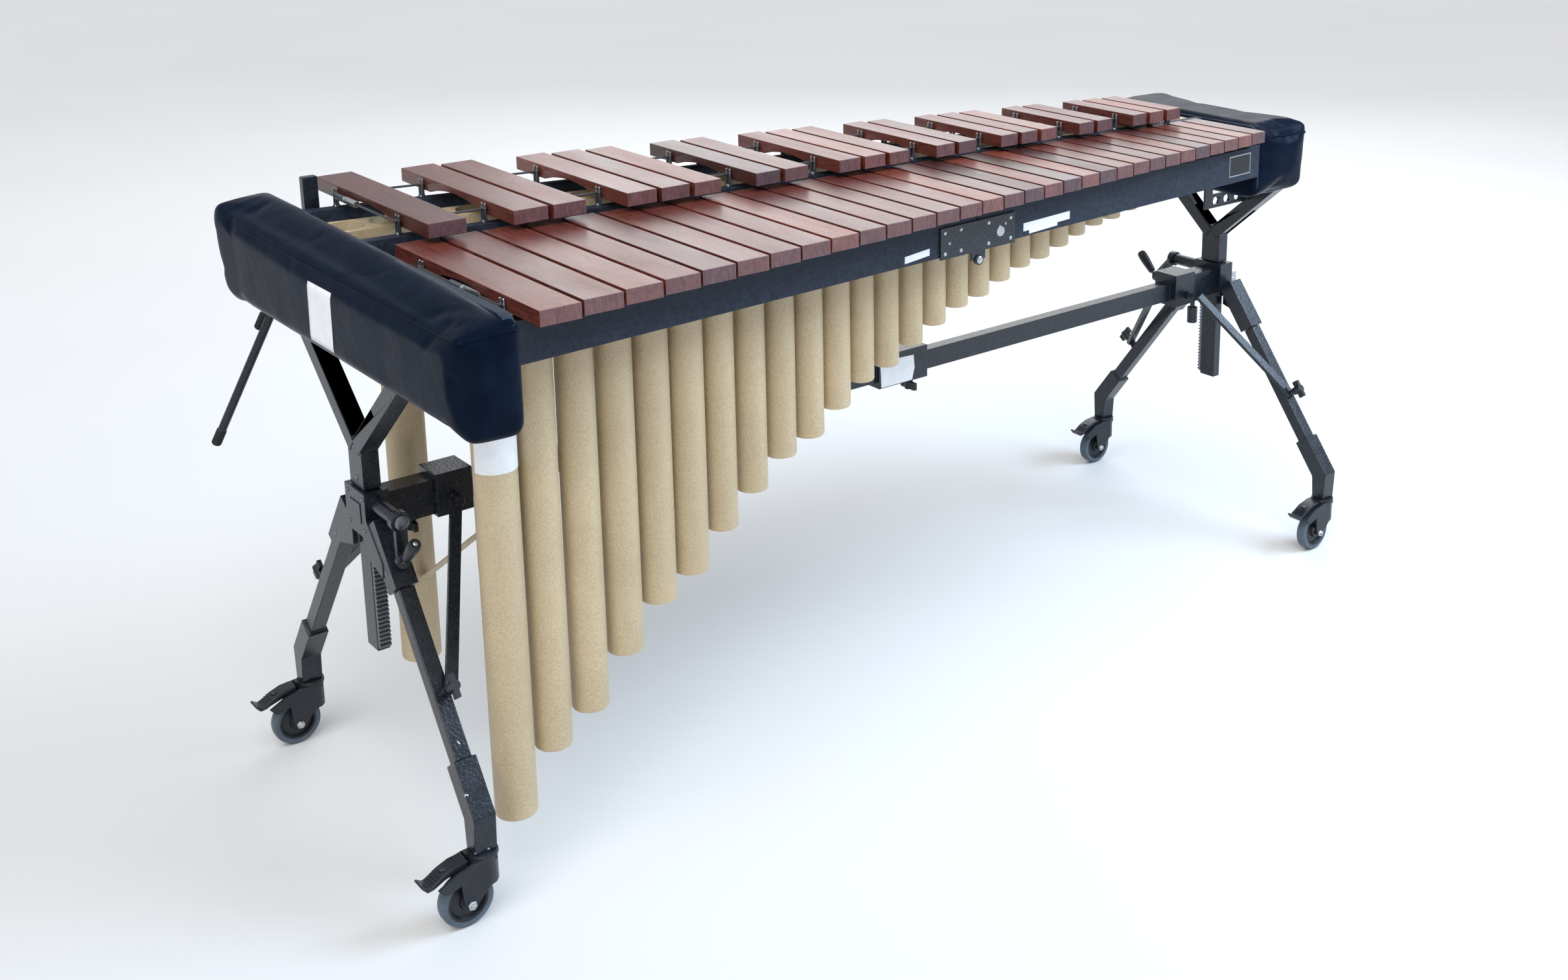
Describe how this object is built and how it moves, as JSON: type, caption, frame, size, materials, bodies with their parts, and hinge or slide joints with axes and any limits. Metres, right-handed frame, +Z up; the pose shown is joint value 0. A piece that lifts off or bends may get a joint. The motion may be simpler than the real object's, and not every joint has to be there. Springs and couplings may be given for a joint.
{
  "type": "concert marimba",
  "caption": "Concert marimba: two slanting rows of wooden bars over gold pipe resonators on black rails, on a winding height-adjustable stand with braced legs and braked casters.",
  "frame": {"origin": "on the floor, under the middle of the outline", "axes": "+X from the bass end to the treble end, +Y away from the player, +Z up"},
  "size_m": [2.0732, 0.9632, 0.975],
  "materials": {
    "bars": "satin",
    "resonators": "satin",
    "boards": "matte",
    "pads": "satin",
    "steel": "satin",
    "zinc": "satin",
    "plastic": "satin",
    "caster_plastic": "satin",
    "tyre": "matte"
  },
  "bodies": {
    "base": {"beam_bass": "steel", "beam_treble": "steel", "hub_bass": "steel", "hub_treble": "steel", "leg_front_bass": "steel", "brace_front_bass": "steel", "leg_rear_bass": "steel", "brace_rear_bass": "steel", "leg_front_treble": "steel", "brace_front_treble": "steel", "leg_rear_treble": "steel", "brace_rear_treble": "steel"},
    "keyboard": {"natural_bar_set": "bars", "accidental_bar_set": "bars", "front_rail_hinge": "steel", "rear_rail_hinge": "steel", "resonator_strap": "resonators", "rear_rod_clamp": "steel", "front_rail_bass": "boards", "inner_rails_bass": "boards", "rear_rail_bass": "boards", "end_board_bass": "boards", "end_pad_bass": "pads", "natural_resonators_bass": "resonators", "accidental_resonators_bass": "resonators", "column_bass": "steel", "fork_bass": "steel", "front_rail_treble": "boards", "inner_rails_treble": "boards", "rear_rail_treble": "boards", "end_board_treble": "boards", "end_pad_treble": "pads", "natural_resonators_treble": "resonators", "accidental_resonators_treble": "resonators", "column_treble": "steel", "fork_treble": "steel"},
    "rear_rods": {"rear_rods": "steel"},
    "crank_bass": {"crank_bass": "steel"},
    "crank_grip_bass": {"crank_grip_bass": "plastic"},
    "crank_treble": {"crank_treble": "steel"},
    "crank_grip_treble": {"crank_grip_treble": "plastic"},
    "brace_knob_front_bass": {"brace_knob_front_bass": "plastic"},
    "caster_front_bass": {"caster_front_bass": "caster_plastic"},
    "wheel_front_bass": {"wheel_front_bass": "tyre"},
    "brake_pedal_front_bass": {"brake_pedal_front_bass": "caster_plastic"},
    "brace_knob_rear_bass": {"brace_knob_rear_bass": "plastic"},
    "caster_rear_bass": {"caster_rear_bass": "caster_plastic"},
    "wheel_rear_bass": {"wheel_rear_bass": "tyre"},
    "brake_pedal_rear_bass": {"brake_pedal_rear_bass": "caster_plastic"},
    "brace_knob_front_treble": {"brace_knob_front_treble": "plastic"},
    "caster_front_treble": {"caster_front_treble": "caster_plastic"},
    "wheel_front_treble": {"wheel_front_treble": "tyre"},
    "brake_pedal_front_treble": {"brake_pedal_front_treble": "caster_plastic"},
    "brace_knob_rear_treble": {"brace_knob_rear_treble": "plastic"},
    "caster_rear_treble": {"caster_rear_treble": "caster_plastic"},
    "wheel_rear_treble": {"wheel_rear_treble": "tyre"},
    "brake_pedal_rear_treble": {"brake_pedal_rear_treble": "caster_plastic"},
    "beam_joint_screw": {"beam_joint_screw": "plastic"},
    "stub_screw_bass": {"stub_screw_bass": "plastic"},
    "column_lock_treble": {"column_lock_treble": "zinc"}
  },
  "joints": [
    {"name": "height_slide", "type": "slide", "parent": "base", "child": "keyboard", "axis": [0, 0, 1], "range_m": [0, 0.055]},
    {"name": "rear_rods_pivot", "type": "hinge", "parent": "keyboard", "child": "rear_rods", "pos_m": [-0.89365, 0.35944, 0.862], "axis": [0, 1, 0], "range_deg": [-20, 60]},
    {"name": "crank_bass_turn", "type": "hinge", "parent": "base", "child": "crank_bass", "pos_m": [-0.93765, -0.05356, 0.538], "axis": [0, -1, 0], "range_deg": [0, 264]},
    {"name": "crank_grip_bass_fold", "type": "hinge", "parent": "crank_bass", "child": "crank_grip_bass", "pos_m": [-0.93765, -0.05996, 0.476], "axis": [1, 0, 0], "range_deg": [-5, 45]},
    {"name": "crank_treble_turn", "type": "hinge", "parent": "base", "child": "crank_treble", "pos_m": [0.99335, 0.17644, 0.538], "axis": [0, 1, 0], "range_deg": [0, 264]},
    {"name": "crank_grip_treble_fold", "type": "hinge", "parent": "crank_treble", "child": "crank_grip_treble", "pos_m": [0.94019, 0.18284, 0.50608], "axis": [-1, 0, 0], "range_deg": [-5, 45]},
    {"name": "brace_knob_front_bass_turn", "type": "hinge", "parent": "base", "child": "brace_knob_front_bass", "pos_m": [-0.93165, -0.17446, 0.3199], "axis": [0, -0.7968, 0.6043], "continuous": true},
    {"name": "caster_front_bass_swivel", "type": "hinge", "parent": "base", "child": "caster_front_bass", "pos_m": [-0.93765, -0.25556, 0.108], "axis": [0, 0, 1], "continuous": true},
    {"name": "wheel_front_bass_roll", "type": "hinge", "parent": "caster_front_bass", "child": "wheel_front_bass", "pos_m": [-0.96765, -0.25556, 0.04], "axis": [0, 1, 0], "continuous": true},
    {"name": "brake_pedal_front_bass_press", "type": "hinge", "parent": "caster_front_bass", "child": "brake_pedal_front_bass", "pos_m": [-0.98965, -0.25556, 0.094], "axis": [0, 1, 0], "range_deg": [-12, 0]},
    {"name": "brace_knob_rear_bass_turn", "type": "hinge", "parent": "base", "child": "brace_knob_rear_bass", "pos_m": [-0.93165, 0.29734, 0.3199], "axis": [0, 0.7968, 0.6043], "continuous": true},
    {"name": "caster_rear_bass_swivel", "type": "hinge", "parent": "base", "child": "caster_rear_bass", "pos_m": [-0.93765, 0.37844, 0.108], "axis": [0, 0, 1], "continuous": true},
    {"name": "wheel_rear_bass_roll", "type": "hinge", "parent": "caster_rear_bass", "child": "wheel_rear_bass", "pos_m": [-0.96765, 0.37844, 0.04], "axis": [0, 1, 0], "continuous": true},
    {"name": "brake_pedal_rear_bass_press", "type": "hinge", "parent": "caster_rear_bass", "child": "brake_pedal_rear_bass", "pos_m": [-0.98965, 0.37844, 0.094], "axis": [0, 1, 0], "range_deg": [-12, 0]},
    {"name": "brace_knob_front_treble_turn", "type": "hinge", "parent": "base", "child": "brace_knob_front_treble", "pos_m": [0.98735, -0.17446, 0.3199], "axis": [0, -0.7968, 0.6043], "continuous": true},
    {"name": "caster_front_treble_swivel", "type": "hinge", "parent": "base", "child": "caster_front_treble", "pos_m": [0.99335, -0.25556, 0.108], "axis": [0, 0, 1], "continuous": true},
    {"name": "wheel_front_treble_roll", "type": "hinge", "parent": "caster_front_treble", "child": "wheel_front_treble", "pos_m": [0.96335, -0.25556, 0.04], "axis": [0, 1, 0], "continuous": true},
    {"name": "brake_pedal_front_treble_press", "type": "hinge", "parent": "caster_front_treble", "child": "brake_pedal_front_treble", "pos_m": [0.94135, -0.25556, 0.094], "axis": [0, 1, 0], "range_deg": [-12, 0]},
    {"name": "brace_knob_rear_treble_turn", "type": "hinge", "parent": "base", "child": "brace_knob_rear_treble", "pos_m": [0.98735, 0.29734, 0.3199], "axis": [0, 0.7968, 0.6043], "continuous": true},
    {"name": "caster_rear_treble_swivel", "type": "hinge", "parent": "base", "child": "caster_rear_treble", "pos_m": [0.99335, 0.37844, 0.108], "axis": [0, 0, 1], "continuous": true},
    {"name": "wheel_rear_treble_roll", "type": "hinge", "parent": "caster_rear_treble", "child": "wheel_rear_treble", "pos_m": [0.96335, 0.37844, 0.04], "axis": [0, 1, 0], "continuous": true},
    {"name": "brake_pedal_rear_treble_press", "type": "hinge", "parent": "caster_rear_treble", "child": "brake_pedal_rear_treble", "pos_m": [0.94135, 0.37844, 0.094], "axis": [0, 1, 0], "range_deg": [-12, 0]},
    {"name": "beam_joint_screw_turn", "type": "hinge", "parent": "base", "child": "beam_joint_screw", "pos_m": [0.12135, 0.06144, 0.487], "axis": [0, 0, 1], "continuous": true},
    {"name": "stub_screw_bass_turn", "type": "hinge", "parent": "base", "child": "stub_screw_bass", "pos_m": [-0.87165, 0.06144, 0.49], "axis": [0, 0, 1], "continuous": true},
    {"name": "column_lock_treble_turn", "type": "hinge", "parent": "base", "child": "column_lock_treble", "pos_m": [1.01265, 0.03544, 0.516], "axis": [1, 0, 0], "continuous": true}
  ],
  "couplings": [
    {"joint": "crank_bass_turn", "follows": "height_slide", "rad_per_m": 83.333},
    {"joint": "crank_treble_turn", "follows": "height_slide", "rad_per_m": 83.333}
  ]
}
